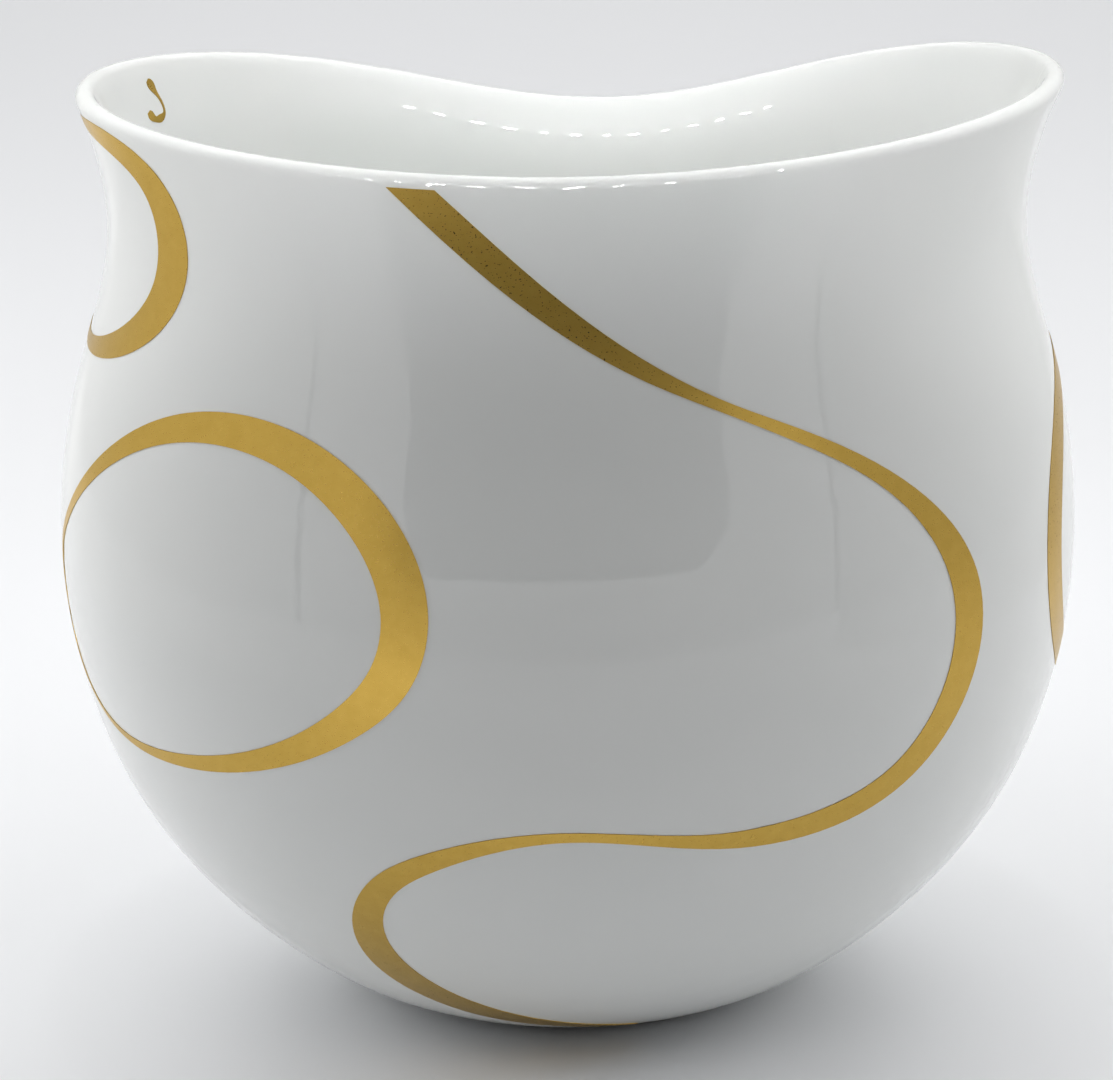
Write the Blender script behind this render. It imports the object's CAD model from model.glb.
"""Gives a pinched-mouth porcelain vase its glaze, its fired gold and its light.

The vase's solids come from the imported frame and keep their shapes. This file adds their materials, and
sets out a table, a light tent and a camera round them."""

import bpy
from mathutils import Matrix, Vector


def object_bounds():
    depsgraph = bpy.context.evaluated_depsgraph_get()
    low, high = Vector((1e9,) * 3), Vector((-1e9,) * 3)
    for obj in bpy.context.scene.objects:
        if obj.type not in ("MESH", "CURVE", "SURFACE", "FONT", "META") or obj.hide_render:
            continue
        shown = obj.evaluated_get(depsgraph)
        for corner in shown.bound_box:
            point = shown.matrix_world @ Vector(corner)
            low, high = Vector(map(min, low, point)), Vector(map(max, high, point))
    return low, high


bl_info = {
    "name": "Porcelain Vase With Gold Lines",
    "version": (1, 0, 0),
    "blender": (4, 5, 0),
    "location": "3D Viewport > Sidebar > Vase",
    "description": "Glazes, gilds and lights the porcelain vase that the frame holds",
    "category": "Object",
}

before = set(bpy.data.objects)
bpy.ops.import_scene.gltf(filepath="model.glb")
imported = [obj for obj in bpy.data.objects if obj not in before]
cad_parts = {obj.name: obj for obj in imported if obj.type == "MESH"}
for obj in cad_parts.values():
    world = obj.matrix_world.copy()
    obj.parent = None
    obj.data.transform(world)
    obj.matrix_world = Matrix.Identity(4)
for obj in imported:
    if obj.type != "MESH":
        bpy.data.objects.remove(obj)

import math

import bpy
from bpy.props import FloatProperty, FloatVectorProperty, PointerProperty
from mathutils import Matrix, Vector

CAD_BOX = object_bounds()
MM = 0.001

# ---- Places taken from the frame ----
BOX_LOW, BOX_HIGH = CAD_BOX
VASE_HEIGHT = BOX_HIGH.z - BOX_LOW.z
VASE_HALF_WIDTH = 0.5 * (BOX_HIGH.x - BOX_LOW.x)
FLOOR_LEVEL = BOX_LOW.z

# ---- The camera, 3.125 vase widths away ----
CAMERA_DISTANCE = 3.125 * 2.0 * VASE_HALF_WIDTH
CAMERA_ELEVATION = math.radians(23.66)
CAMERA_TURN = math.radians(1.054)
CAMERA_ROLL = math.radians(-1.294)
CAMERA_AIM = Vector((0.0, 0.0, 0.5007 * VASE_HEIGHT))
CAMERA_LENS = 101.53
CAMERA_SENSOR = 36.0
CAMERA_SHIFT = -0.0103
CAMERA_NEAR_END = 0.01

# ---- The grain and the unevenness of each surface ----
GLAZE_CLOUD_WIDTH = 30.3 * MM
GLAZE_RIPPLE_LENGTH = 14.3 * MM
SPECK_SPACING = 50.0 * MM
SPECK_CORE_RADIUS = 0.15 * MM
SPECK_EDGE_RADIUS = 0.30 * MM
BISCUIT_GRAIN_WIDTH = 0.5 * MM
BISCUIT_GRAIN_DEPTH = 0.02 * MM
BISCUIT_SHADE_SHARE = 0.82
GOLD_DRIFT_LENGTH = 2.0 * MM
GOLD_DRIFT_DEPTH = 0.006 * MM
GOLD_GRAIN_WIDTH = 0.303 * MM
GOLD_ROUGHNESS_SWING = 0.07
BOARD_GRAIN_WIDTH = 1.54 * MM
BOARD_LEAST_ROUGHNESS = 0.34
BOARD_MOST_ROUGHNESS = 0.42
FOLD_SPACING = 125.0 * MM
FOLD_SHADE = 0.1

# ---- Sockets of a colour Mix node, whose names are shared with its other kinds of value ----
MIX_FROM = 6
MIX_TO = 7
MIX_RESULT = 2

# ---- The light tent round the vase, in metres ----
TENT_HALF_WIDTH = 0.250
TENT_HEIGHT = 0.500
SEAM_GAP = 0.010
APRON_LEVEL = 0.001
APRON_EDGE = -0.095
FOOT_SHARE = 1.3
WINDOW_HALF_WIDTH = 0.130
WINDOW_LOW = 0.116
WINDOW_HIGH = 0.262
WINDOW_CORNER = 0.045
WINDOW_STEPS = 96
SKIRT_HEIGHT = 0.052
LAMP_COUNT = 13
LAMP_SPACING = 0.028
LAMP_RADIUS = 0.005
LAMP_LEVEL = 0.275
LAMP_MIDDLE = -0.025
LAMP_STAND_OFF = 0.001
LAMP_SIDES = 16
FLOOR_HALF_WIDTH = 2.5
FAR_CLOTH_HEIGHT = 2.5

# ---- Each soft light's place, what it points at, its width and height, and its spread in degrees ----
VASE_MIDDLE = (0.0, 0.0, 0.5 * VASE_HEIGHT)
SOFT_LIGHTS = {
    "far_light": ((0.0, 1.3, 1.0), (0.0, 0.2, 0.0), 2.0, 0.8, 180.0),
    "high_light": ((0.0, 0.0, 1.5), (0.0, 0.0, 0.0), 2.0, 2.0, 180.0),
    "left_light": ((-0.5, 0.1, 0.25), VASE_MIDDLE, 0.4, 0.4, 180.0),
    "right_light": ((0.5, 0.1, 0.25), VASE_MIDDLE, 0.4, 0.4, 180.0),
    "mouth_light": ((0.0, 0.03, 0.45), (0.0, 0.0, 0.08), 0.10, 0.04, 16.0),
    "back_wall_light": ((0.0, -0.30, 0.42), (0.0, 0.04, 0.108), 0.15, 0.02, 15.0),
}


def linear(hex_colour):
    """A linear RGBA colour from an sRGB hex value."""
    channels = []
    for start in (1, 3, 5):
        value = int(hex_colour[start:start + 2], 16) / 255.0
        channels.append(value / 12.92 if value <= 0.04045 else ((value + 0.055) / 1.055) ** 2.4)
    return (*channels, 1.0)


def colour_property(name, hex_colour, description):
    """A colour that a user can change."""
    return FloatVectorProperty(
        name=name, description=description, subtype="COLOR", size=4, min=0.0, max=1.0,
        default=linear(hex_colour))


def share_property(name, share, description):
    """A number from 0 to 1, such as a roughness."""
    return FloatProperty(
        name=name, description=description, default=share, min=0.0, max=1.0, subtype="FACTOR")


def power_property(name, watts, description):
    """The power of one soft light."""
    return FloatProperty(
        name=name, description=description, default=watts, min=0.0, precision=4, unit="POWER")


def glow_property(name, strength, description):
    """How bright one cloth of the tent, or its lamps, is in reflections."""
    return FloatProperty(name=name, description=description, default=strength, min=0.0)


class VaseFinish(bpy.types.PropertyGroup):
    """The colours and the unevenness of the glaze, the biscuit and the gold"""
    glaze_white: colour_property(
        "Glaze white", "#F3F4F2", "White of the porcelain seen through its clear glaze")
    glaze_shade: colour_property(
        "Glaze shade", "#EEF0EE", "Slightly greyer white where the glaze lies thicker")
    glaze_roughness: share_property(
        "Glaze roughness", 0.02, "How soft the reflections in the glaze are")
    glaze_ripple: FloatProperty(
        name="Glaze ripple", description="Depth of the slow unevenness of the fired glaze",
        default=0.012 * MM, min=0.0, precision=6, unit="LENGTH")
    speck_colour: colour_property(
        "Speck", "#6E675C", "Pin-prick iron specks fired into the glaze")
    biscuit_white: colour_property(
        "Biscuit white", "#E9E5DC", "Unglazed porcelain, ground smooth")
    gold_light: colour_property(
        "Gold", "#C8A653", "Fired gold where it lies thickest")
    gold_deep: colour_property(
        "Deep gold", "#BA9846", "Fired gold where it lies thinnest")
    gold_roughness: share_property(
        "Gold roughness", 0.3, "How satin the fired gold is")


class VaseStage(bpy.types.PropertyGroup):
    """The table, the soft lights and the tent's cloths"""
    floor_white: colour_property(
        "Floor white", "#EBECEE", "Matt white of the laminated table board")
    backdrop_white: colour_property(
        "Backdrop white", "#E6E7EA", "White beyond the edge of the table")
    far_power: power_property(
        "Far light", 10.6, "Broad soft light behind the table, which lights the back of the board")
    high_power: power_property(
        "High light", 18.6, "Broad soft light high above the table")
    left_power: power_property(
        "Left light", 1.40, "Soft light on the left-hand end")
    right_power: power_property(
        "Right light", 1.25, "Soft light on the right-hand end")
    mouth_power: power_property(
        "Mouth light", 0.011, "Narrow light straight down into the mouth")
    back_wall_power: power_property(
        "Back wall light", 0.013, "Narrow light over the front lip on to the inside of the back wall")
    front_glow: glow_property(
        "Front cloth glow", 0.85, "How bright the left half of the front cloth is in reflections")
    front_fall: share_property(
        "Front cloth fall", 0.95, "How bright the front cloth's right half is, as a share of its left")
    skirt_glow: glow_property(
        "Skirt glow", 1.15, "How bright the foot of the tent's front cloth is in reflections")
    apron_glow: glow_property(
        "Apron glow", 0.85, "How bright the table's lit strip is where it ends, in reflections")
    left_glow: glow_property(
        "Left cloth glow", 0.85, "How bright the tent's left-hand cloth is in reflections")
    right_glow: glow_property(
        "Right cloth glow", 0.6, "How bright the tent's right-hand cloth is in reflections")
    far_glow: glow_property(
        "Far cloth glow", 0.45, "How bright the cloth beyond the table is in reflections")
    top_glow: glow_property(
        "Top cloth glow", 0.8, "How bright the tent's top cloth is in reflections")
    lamp_glow: glow_property(
        "Lamp glow", 110.0, "How bright the row of small lamps is in reflections")


def new_material(name):
    """An empty node material with its output; returns the material and its node tree."""
    material = bpy.data.materials.new(name)
    material.use_nodes = True
    material.node_tree.nodes.clear()
    return material, material.node_tree


def add_node(tree, kind, settings=None, inputs=None, links=None):
    """Adds one node with its own settings, its sockets' values and the sockets that other nodes feed.

    A socket goes by its name, or by its number where other sockets share that name."""
    node = tree.nodes.new(kind)
    for name, value in (settings or {}).items():
        setattr(node, name, value)
    for name, value in (inputs or {}).items():
        node.inputs[name].default_value = value
    for name, source in (links or {}).items():
        tree.links.new(source, node.inputs[name])
    return node


def glazed_porcelain(finish):
    """White porcelain under a clear, glossy, fired glaze.

    The eye gets a clean white body, sharp but slightly soft-edged reflections that waver a little where
    the glaze ran, a faint clouding and now and then a pin-prick speck."""
    material, tree = new_material("porcelain_clear_glazed")
    place = add_node(tree, "ShaderNodeTexCoord")
    # The glaze is a little thicker, and so a little greyer, in clouds about 30 mm across.
    clouds = add_node(
        tree, "ShaderNodeTexNoise",
        inputs={"Scale": 1.0 / GLAZE_CLOUD_WIDTH, "Detail": 3.0, "Roughness": 0.5},
        links={"Vector": place.outputs["Object"]})
    cloud_mix = add_node(
        tree, "ShaderNodeMix", settings={"data_type": "RGBA"},
        inputs={MIX_FROM: finish.glaze_white, MIX_TO: finish.glaze_shade},
        links={"Factor": clouds.outputs["Fac"]})
    # The specks are about 0.45 mm across, with one cell of the pattern every 50 mm.
    specks = add_node(
        tree, "ShaderNodeTexVoronoi", inputs={"Scale": 1.0 / SPECK_SPACING, "Randomness": 1.0},
        links={"Vector": place.outputs["Object"]})
    speck_spot = add_node(
        tree, "ShaderNodeMapRange", settings={"interpolation_type": "SMOOTHSTEP"},
        inputs={"From Min": SPECK_CORE_RADIUS / SPECK_SPACING,
                "From Max": SPECK_EDGE_RADIUS / SPECK_SPACING, "To Min": 1.0, "To Max": 0.0},
        links={"Value": specks.outputs["Distance"]})
    speck_mix = add_node(
        tree, "ShaderNodeMix", settings={"data_type": "RGBA"},
        inputs={MIX_TO: finish.speck_colour},
        links={"Factor": speck_spot.outputs["Result"], MIX_FROM: cloud_mix.outputs[MIX_RESULT]})
    # The slow ripple where the glaze ran is about 14 mm long.
    ripple = add_node(
        tree, "ShaderNodeTexNoise",
        inputs={"Scale": 1.0 / GLAZE_RIPPLE_LENGTH, "Detail": 2.0, "Roughness": 0.45},
        links={"Vector": place.outputs["Object"]})
    ripple_bump = add_node(
        tree, "ShaderNodeBump", inputs={"Strength": 1.0, "Distance": finish.glaze_ripple},
        links={"Height": ripple.outputs["Fac"]})
    shader = add_node(
        tree, "ShaderNodeBsdfPrincipled",
        inputs={"Metallic": 0.0, "Roughness": finish.glaze_roughness, "IOR": 1.5},
        links={"Base Color": speck_mix.outputs[MIX_RESULT], "Normal": ripple_bump.outputs["Normal"]})
    add_node(tree, "ShaderNodeOutputMaterial", links={"Surface": shader.outputs["BSDF"]})
    return material


def biscuit_porcelain(finish):
    """Unglazed porcelain, fired and ground smooth.

    The eye gets a chalky, slightly warm matt white with a fine sugary grain."""
    material, tree = new_material("porcelain_biscuit_ground")
    place = add_node(tree, "ShaderNodeTexCoord")
    # The grain is drawn about five times as coarse as the real grinding grain, so that it shows.
    grain = add_node(
        tree, "ShaderNodeTexNoise",
        inputs={"Scale": 1.0 / BISCUIT_GRAIN_WIDTH, "Detail": 2.0, "Roughness": 0.6},
        links={"Vector": place.outputs["Object"]})
    shade = [BISCUIT_SHADE_SHARE * channel for channel in finish.biscuit_white[:3]] + [1.0]
    tone = add_node(
        tree, "ShaderNodeMix", settings={"data_type": "RGBA"},
        inputs={MIX_FROM: finish.biscuit_white, MIX_TO: shade},
        links={"Factor": grain.outputs["Fac"]})
    bump = add_node(
        tree, "ShaderNodeBump", inputs={"Strength": 0.6, "Distance": BISCUIT_GRAIN_DEPTH},
        links={"Height": grain.outputs["Fac"]})
    shader = add_node(
        tree, "ShaderNodeBsdfPrincipled",
        inputs={"Metallic": 0.0, "Roughness": 0.72, "IOR": 1.5},
        links={"Base Color": tone.outputs[MIX_RESULT], "Normal": bump.outputs["Normal"]})
    add_node(tree, "ShaderNodeOutputMaterial", links={"Surface": shader.outputs["BSDF"]})
    return material


def fired_gold(finish):
    """Liquid matt gold, painted on and fired over the glaze.

    The eye gets a satin metal that darkens where it faces the dark, lies in slight drifts and shines a
    little more in one grain than in the next."""
    material, tree = new_material("gold_matt_fired")
    place = add_node(tree, "ShaderNodeTexCoord")
    # The brush left the gold in soft drifts about 2 mm long, which change its colour and its height.
    drift = add_node(
        tree, "ShaderNodeTexNoise",
        inputs={"Scale": 1.0 / GOLD_DRIFT_LENGTH, "Detail": 3.0, "Roughness": 0.6},
        links={"Vector": place.outputs["Object"]})
    tone = add_node(
        tree, "ShaderNodeMix", settings={"data_type": "RGBA"},
        inputs={MIX_FROM: finish.gold_light, MIX_TO: finish.gold_deep},
        links={"Factor": drift.outputs["Fac"]})
    # The grain, 0.3 mm, is drawn several times as coarse as the real powder so that it shows. It
    # changes only how rough the gold is.
    grain = add_node(
        tree, "ShaderNodeTexNoise",
        inputs={"Scale": 1.0 / GOLD_GRAIN_WIDTH, "Detail": 1.0, "Roughness": 0.5},
        links={"Vector": place.outputs["Object"]})
    rough = add_node(
        tree, "ShaderNodeMapRange",
        inputs={"To Min": finish.gold_roughness - GOLD_ROUGHNESS_SWING,
                "To Max": finish.gold_roughness + GOLD_ROUGHNESS_SWING},
        links={"Value": grain.outputs["Fac"]})
    bump = add_node(
        tree, "ShaderNodeBump", inputs={"Strength": 0.5, "Distance": GOLD_DRIFT_DEPTH},
        links={"Height": drift.outputs["Fac"]})
    shader = add_node(
        tree, "ShaderNodeBsdfPrincipled", inputs={"Metallic": 1.0},
        links={"Base Color": tone.outputs[MIX_RESULT], "Roughness": rough.outputs["Result"],
               "Normal": bump.outputs["Normal"]})
    add_node(tree, "ShaderNodeOutputMaterial", links={"Surface": shader.outputs["BSDF"]})
    return material


def laminated_board(stage):
    """Matt white laminated table board.

    The eye gets a pale, even white with a weak, blurred reflection at a low angle."""
    material, tree = new_material("board_white_laminated")
    place = add_node(tree, "ShaderNodeTexCoord")
    # The grain pressed into the laminate is about 1.5 mm across.
    grain = add_node(
        tree, "ShaderNodeTexNoise",
        inputs={"Scale": 1.0 / BOARD_GRAIN_WIDTH, "Detail": 2.0, "Roughness": 0.5},
        links={"Vector": place.outputs["Object"]})
    rough = add_node(
        tree, "ShaderNodeMapRange",
        inputs={"To Min": BOARD_LEAST_ROUGHNESS, "To Max": BOARD_MOST_ROUGHNESS},
        links={"Value": grain.outputs["Fac"]})
    shader = add_node(
        tree, "ShaderNodeBsdfPrincipled",
        inputs={"Base Color": stage.floor_white, "Metallic": 0.0, "IOR": 1.45,
                "Specular IOR Level": 0.3},
        links={"Roughness": rough.outputs["Result"]})
    add_node(tree, "ShaderNodeOutputMaterial", links={"Surface": shader.outputs["BSDF"]})
    return material


def glowing_cloth(name, low_glow, high_glow, axis="X",
                  low=-0.5 * TENT_HALF_WIDTH, high=0.5 * TENT_HALF_WIDTH):
    """Lit nylon tent cloth, or a lamp, as it shows in the glaze.

    The eye gets a soft white glow that changes from low_glow to high_glow between two places on one
    axis, and clouds a little where the cloth hangs."""
    material, tree = new_material(name)
    place = add_node(tree, "ShaderNodeTexCoord")
    across = add_node(tree, "ShaderNodeSeparateXYZ", links={"Vector": place.outputs["Object"]})
    fall = add_node(
        tree, "ShaderNodeMapRange", settings={"interpolation_type": "SMOOTHSTEP"},
        inputs={"From Min": low, "From Max": high, "To Min": low_glow, "To Max": high_glow},
        links={"Value": across.outputs[axis]})
    # The cloth hangs in soft folds, and each is a tenth brighter or darker than the cloth's mean.
    folds = add_node(
        tree, "ShaderNodeTexNoise", inputs={"Scale": 1.0 / FOLD_SPACING, "Detail": 1.0},
        links={"Vector": place.outputs["Object"]})
    shade = add_node(
        tree, "ShaderNodeMapRange",
        inputs={"To Min": 1.0 - FOLD_SHADE, "To Max": 1.0 + FOLD_SHADE},
        links={"Value": folds.outputs["Fac"]})
    glow = add_node(
        tree, "ShaderNodeMath", settings={"operation": "MULTIPLY"},
        links={0: fall.outputs["Result"], 1: shade.outputs["Result"]})
    shader = add_node(
        tree, "ShaderNodeEmission", inputs={"Color": linear("#FFFFFF")},
        links={"Strength": glow.outputs["Value"]})
    add_node(tree, "ShaderNodeOutputMaterial", links={"Surface": shader.outputs["Emission"]})
    return material


def give_material(node_name, material):
    """Puts a material on one of the frame's solids, whose shape stays as it is."""
    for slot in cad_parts[node_name].material_slots:
        slot.material = material


def mesh_object(name, points, faces, material):
    """A flat-shaded object from its points and faces."""
    mesh = bpy.data.meshes.new(name)
    mesh.from_pydata(points, [], faces)
    mesh.materials.append(material)
    mesh.update()
    piece = bpy.data.objects.new(name, mesh)
    bpy.context.scene.collection.objects.link(piece)
    return piece


def only_in_reflections(piece):
    """Lets a piece show in mirrored light and nowhere else, so that it hides nothing from any side."""
    piece.visible_camera = False
    piece.visible_diffuse = False
    piece.visible_transmission = False
    piece.visible_shadow = False


def tent_panel(name, corners, glow):
    """One even, four-cornered cloth of the tent."""
    cloth = glowing_cloth(name, glow, glow)
    only_in_reflections(mesh_object(name, corners, [(0, 1, 2, 3)], cloth))


def side_cloth(name, x, glow, foot_glow):
    """A side of the tent: the cloth, and under it the brighter foot near the table."""
    side = TENT_HALF_WIDTH
    tent_panel(name, [(x, -side, SKIRT_HEIGHT), (x, side, SKIRT_HEIGHT), (x, side, TENT_HEIGHT),
                      (x, -side, TENT_HEIGHT)], glow)
    tent_panel(name + "_foot", [(x, -side, 0.0), (x, side, 0.0), (x, side, SKIRT_HEIGHT),
                                (x, -side, SKIRT_HEIGHT)], foot_glow)


def lit_apron(low_glow, high_glow):
    """The strip of table under the front lamps, brighter than the rest, as it shows in the glaze."""
    side = TENT_HALF_WIDTH
    corners = [(-side, -side, APRON_LEVEL), (side, -side, APRON_LEVEL),
               (side, APRON_EDGE, APRON_LEVEL), (-side, APRON_EDGE, APRON_LEVEL)]
    glow = glowing_cloth("apron_white", low_glow, high_glow, "Y", -side, APRON_EDGE)
    only_in_reflections(mesh_object("tent_apron", corners, [(0, 1, 2, 3)], glow))


def rounded_window():
    """Points (x, z) round the opening in the tent's front cloth, a rectangle with round corners."""
    half_height = 0.5 * (WINDOW_HIGH - WINDOW_LOW)
    middle = 0.5 * (WINDOW_HIGH + WINDOW_LOW)
    centres = [(WINDOW_HALF_WIDTH - WINDOW_CORNER, half_height - WINDOW_CORNER),
               (WINDOW_CORNER - WINDOW_HALF_WIDTH, half_height - WINDOW_CORNER),
               (WINDOW_CORNER - WINDOW_HALF_WIDTH, WINDOW_CORNER - half_height),
               (WINDOW_HALF_WIDTH - WINDOW_CORNER, WINDOW_CORNER - half_height)]
    points = []
    corner_steps = WINDOW_STEPS // 4
    for corner, (x, z) in enumerate(centres):
        for step in range(corner_steps):
            angle = 0.5 * math.pi * (corner + step / (corner_steps - 1.0))
            points.append((x + WINDOW_CORNER * math.cos(angle),
                           middle + z + WINDOW_CORNER * math.sin(angle)))
    return points


def front_cloth(left_glow, right_glow):
    """The tent's front cloth, with the opening that the vase is looked at through.

    Each quarter of the opening's edge is joined to its own corner of the cloth by a fan of triangles,
    and one four-cornered face spans each straight side."""
    window = rounded_window()
    corner_steps = len(window) // 4
    edge = TENT_HALF_WIDTH - SEAM_GAP
    corners = [(edge, TENT_HEIGHT), (-edge, TENT_HEIGHT),
               (-edge, SKIRT_HEIGHT), (edge, SKIRT_HEIGHT)]
    points = [(x, -TENT_HALF_WIDTH, z) for x, z in window + corners]
    faces = []
    for corner in range(4):
        start = corner * corner_steps
        for step in range(corner_steps - 1):
            faces.append((start + step, start + step + 1, len(window) + corner))
        last = start + corner_steps - 1
        following = (last + 1) % len(window)
        faces.append((last, following, len(window) + (corner + 1) % 4, len(window) + corner))
    glow = glowing_cloth("cloth_front", left_glow, right_glow)
    only_in_reflections(mesh_object("tent_front", points, faces, glow))


def lamp_row(glow):
    """The row of small round lamps over the tent's opening."""
    points = []
    faces = []
    for lamp in range(LAMP_COUNT):
        middle = LAMP_MIDDLE + LAMP_SPACING * (lamp - 0.5 * (LAMP_COUNT - 1))
        start = len(points)
        for side in range(LAMP_SIDES):
            angle = 2.0 * math.pi * side / LAMP_SIDES
            points.append((middle + LAMP_RADIUS * math.cos(angle), LAMP_STAND_OFF - TENT_HALF_WIDTH,
                           LAMP_LEVEL + LAMP_RADIUS * math.sin(angle)))
        faces.append(tuple(range(start, start + LAMP_SIDES)))
    material = glowing_cloth("lamp_white", glow, glow)
    material.cycles.emission_sampling = "FRONT_BACK"
    only_in_reflections(mesh_object("tent_lamps", points, faces, material))


def soft_light(name, power):
    """A soft rectangular light that the glaze doesn't mirror; the tent's cloths stand for it there."""
    place, target, width, height, spread = SOFT_LIGHTS[name]
    light = bpy.data.lights.new(name, "AREA")
    light.shape = "RECTANGLE"
    light.size = width
    light.size_y = height
    light.energy = power
    light.spread = math.radians(spread)
    lamp = bpy.data.objects.new(name, light)
    lamp.location = place
    lamp.rotation_mode = "QUATERNION"
    lamp.rotation_quaternion = (Vector(target) - Vector(place)).to_track_quat("-Z", "Y")
    lamp.visible_glossy = False
    lamp.visible_camera = False
    bpy.context.scene.collection.objects.link(lamp)


def add_camera():
    """The camera in front of the vase, a little above it and a little tilted."""
    level = CAMERA_DISTANCE * math.cos(CAMERA_ELEVATION)
    place = CAMERA_AIM + Vector((level * math.sin(CAMERA_TURN), -level * math.cos(CAMERA_TURN),
                                 CAMERA_DISTANCE * math.sin(CAMERA_ELEVATION)))
    camera = bpy.data.cameras.new("camera")
    camera.lens = CAMERA_LENS
    camera.sensor_width = CAMERA_SENSOR
    camera.sensor_fit = "HORIZONTAL"
    camera.shift_x = CAMERA_SHIFT
    camera.clip_start = CAMERA_NEAR_END
    holder = bpy.data.objects.new("camera", camera)
    aim = (CAMERA_AIM - place).to_track_quat("-Z", "Y").to_matrix().to_4x4()
    holder.matrix_world = Matrix.Translation(place) @ aim @ Matrix.Rotation(CAMERA_ROLL, 4, "Z")
    bpy.context.scene.collection.objects.link(holder)
    bpy.context.scene.camera = holder


def set_backdrop(stage):
    """An even white beyond the table, which lights nothing."""
    world = bpy.data.worlds.new("backdrop")
    bpy.context.scene.world = world
    world.use_nodes = True
    background = world.node_tree.nodes["Background"]
    background.inputs["Color"].default_value = stage.backdrop_white
    background.inputs["Strength"].default_value = 1.0
    world.cycles_visibility.diffuse = False
    world.cycles_visibility.glossy = False


class VASE_OT_porcelain(bpy.types.Operator):
    """Glazes the vase's wall and base, and leaves the standing ring as biscuit"""
    bl_idname = "vase.porcelain"
    bl_label = "Glaze the porcelain"

    def execute(self, context):
        finish = context.scene.vase_finish
        glazed = glazed_porcelain(finish)
        biscuit = biscuit_porcelain(finish)
        for node_name in ("glaze_coat", "base_glaze"):
            give_material(node_name, glazed)
        for node_name in ("porcelain_body", "foot_ring"):
            give_material(node_name, biscuit)
        return {"FINISHED"}


class VASE_OT_gold(bpy.types.Operator):
    """Gilds the ribbons, the rings, the crescent and the small curl"""
    bl_idname = "vase.gold"
    bl_label = "Fire the gold lines"

    def execute(self, context):
        gold = fired_gold(context.scene.vase_finish)
        for node_name in ("front_ribbon", "back_ribbon", "left_ring", "right_ring",
                          "upper_left_crescent", "inner_curl"):
            give_material(node_name, gold)
        return {"FINISHED"}


class VASE_OT_stage(bpy.types.Operator):
    """Sets out the table, the soft light, the tent that the glaze mirrors and the camera"""
    bl_idname = "vase.stage"
    bl_label = "Set the stage"

    def execute(self, context):
        stage = context.scene.vase_stage
        side = TENT_HALF_WIDTH
        top = TENT_HEIGHT
        reach = FLOOR_HALF_WIDTH
        table = [(-reach, -reach, FLOOR_LEVEL), (reach, -reach, FLOOR_LEVEL),
                 (reach, reach, FLOOR_LEVEL), (-reach, reach, FLOOR_LEVEL)]
        mesh_object("table", table, [(0, 1, 2, 3)], laminated_board(stage))
        side_cloth("tent_left", -side, stage.left_glow, FOOT_SHARE * stage.left_glow)
        side_cloth("tent_right", side, stage.right_glow, FOOT_SHARE * stage.right_glow)
        tent_panel("far_cloth", [(-reach, reach, 0.0), (reach, reach, 0.0),
                                 (reach, reach, FAR_CLOTH_HEIGHT), (-reach, reach, FAR_CLOTH_HEIGHT)],
                   stage.far_glow)
        tent_panel("tent_top", [(-side, -side, top), (side, -side, top),
                                (side, side, top), (-side, side, top)], stage.top_glow)
        tent_panel("tent_skirt", [(-side, -side, 0.0), (side, -side, 0.0),
                                  (side, -side, SKIRT_HEIGHT), (-side, -side, SKIRT_HEIGHT)],
                   stage.skirt_glow)
        lit_apron(stage.skirt_glow, stage.apron_glow)
        front_cloth(stage.front_glow, stage.front_glow * stage.front_fall)
        lamp_row(stage.lamp_glow)
        for light_name, power in (("far_light", stage.far_power), ("high_light", stage.high_power),
                                  ("left_light", stage.left_power), ("right_light", stage.right_power),
                                  ("mouth_light", stage.mouth_power),
                                  ("back_wall_light", stage.back_wall_power)):
            soft_light(light_name, power)
        set_backdrop(stage)
        add_camera()
        context.scene.view_settings.view_transform = "Standard"
        return {"FINISHED"}


class VASE_PT_panel(bpy.types.Panel):
    """The vase's sizes, colours and steps"""
    bl_idname = "VASE_PT_panel"
    bl_label = "Porcelain Vase"
    bl_space_type = "VIEW_3D"
    bl_region_type = "UI"
    bl_category = "Vase"

    def draw(self, context):
        layout = self.layout
        for group in (context.scene.vase_finish, context.scene.vase_stage):
            box = layout.box()
            for name in group.bl_rna.properties.keys():
                if name not in ("rna_type", "name"):
                    box.prop(group, name)
        for operator in (VASE_OT_porcelain, VASE_OT_gold, VASE_OT_stage):
            layout.operator(operator.bl_idname)


CLASSES = (VaseFinish, VaseStage, VASE_OT_porcelain, VASE_OT_gold, VASE_OT_stage, VASE_PT_panel)


def register():
    """Makes the groups, operators and panel known, and gives the scene its settings."""
    for item in CLASSES:
        bpy.utils.register_class(item)
    bpy.types.Scene.vase_finish = PointerProperty(type=VaseFinish)
    bpy.types.Scene.vase_stage = PointerProperty(type=VaseStage)


def unregister():
    """Undoes register, in the opposite order."""
    del bpy.types.Scene.vase_stage
    del bpy.types.Scene.vase_finish
    for item in reversed(CLASSES):
        bpy.utils.unregister_class(item)


def main():
    """Runs each step in order."""
    register()
    bpy.ops.vase.porcelain()
    bpy.ops.vase.gold()
    bpy.ops.vase.stage()


if __name__ == "__main__":
    main()
